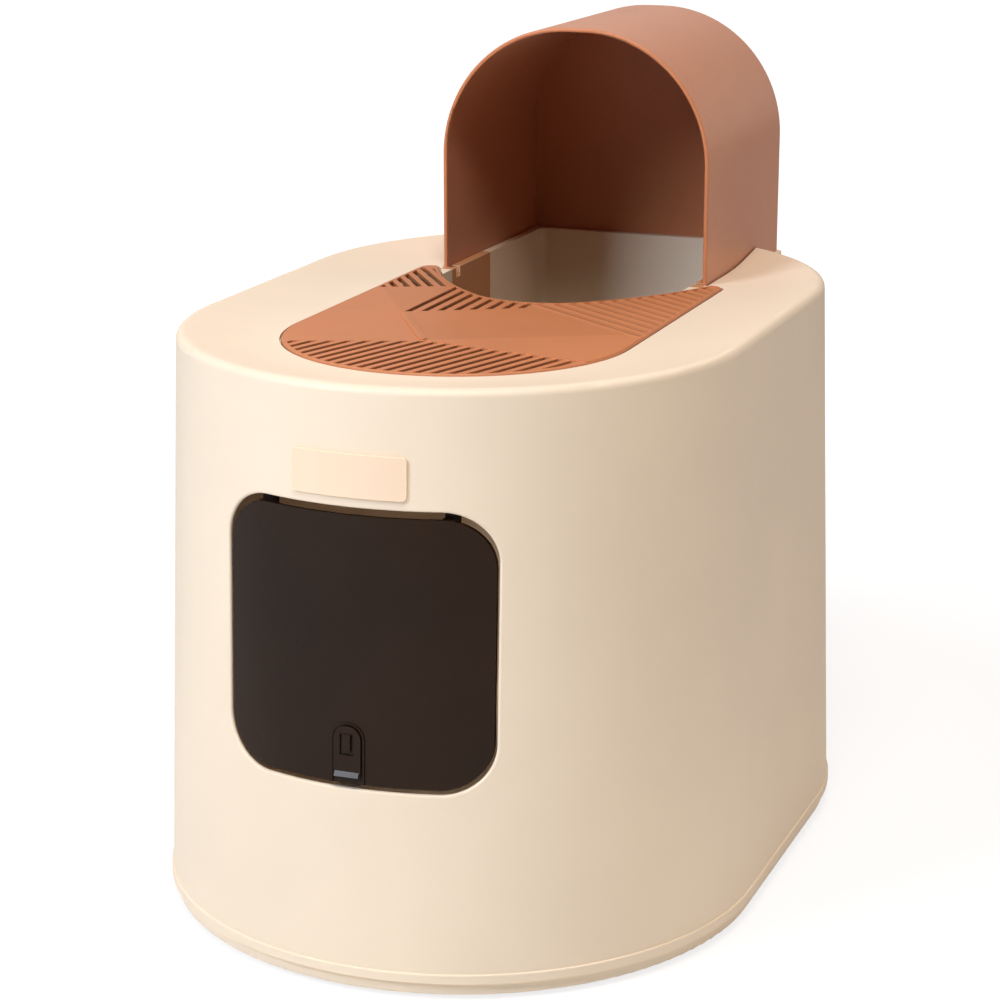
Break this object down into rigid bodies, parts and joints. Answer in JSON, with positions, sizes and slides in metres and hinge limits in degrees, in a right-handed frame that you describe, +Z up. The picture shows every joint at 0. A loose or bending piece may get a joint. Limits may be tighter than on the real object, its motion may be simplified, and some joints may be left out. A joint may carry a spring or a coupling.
{
  "type": "semi-enclosed litter box",
  "caption": "Semi-enclosed cat litter box with a slotted tread mat on top, an arched entry hood, a smoked flap door with a slide lock and a lift-out pan.",
  "frame": {"origin": "on the floor, below the middle of the whole object's box", "axes": "+Z up, -Y towards the front with the door, +X to the right seen from the front"},
  "size_m": [0.404, 0.6027, 0.556],
  "materials": {
    "cream_plastic": "satin moulded plastic, cream",
    "terracotta_plastic": "satin moulded plastic, terracotta",
    "smoked_plastic": "smoked translucent plastic, glossy",
    "plate_plastic": "satin moulded plastic, peach",
    "pin_steel": "zinc-plated steel",
    "foot_rubber": "soft beige rubber"
  },
  "bodies": {
    "pan": {"litter_pan": "cream_plastic", "pan_feet": "foot_rubber"},
    "shell": {"shell": "cream_plastic", "name_plate": "plate_plastic", "left_hinge_bracket": "cream_plastic", "right_hinge_bracket": "cream_plastic", "left_hinge_pin": "pin_steel", "right_hinge_pin": "pin_steel", "bracket_screws": "pin_steel"},
    "hood": {"hood": "terracotta_plastic"},
    "mat": {"tread_mat": "terracotta_plastic"},
    "door": {"entry_door": "smoked_plastic"},
    "lock": {"lock_slider": "smoked_plastic", "lock_bolt": "smoked_plastic"}
  },
  "joints": [
    {"name": "shell_lift", "type": "slide", "parent": "pan", "child": "shell", "axis": [0, 0, 1], "range_m": [0, 0.12]},
    {"name": "hood_lift", "type": "slide", "parent": "shell", "child": "hood", "axis": [0, 0, 1], "range_m": [0, 0.03]},
    {"name": "mat_lift", "type": "slide", "parent": "shell", "child": "mat", "axis": [0, 0, 1], "range_m": [0, 0.02]},
    {"name": "door_swing", "type": "hinge", "parent": "shell", "child": "door", "pos_m": [0, -0.26502, 0.32], "axis": [1, 0, 0], "range_deg": [-12, 75]},
    {"name": "lock_slide", "type": "slide", "parent": "door", "child": "lock", "axis": [0, -0.0359, -0.9994], "range_m": [0, 0.0065]}
  ]
}
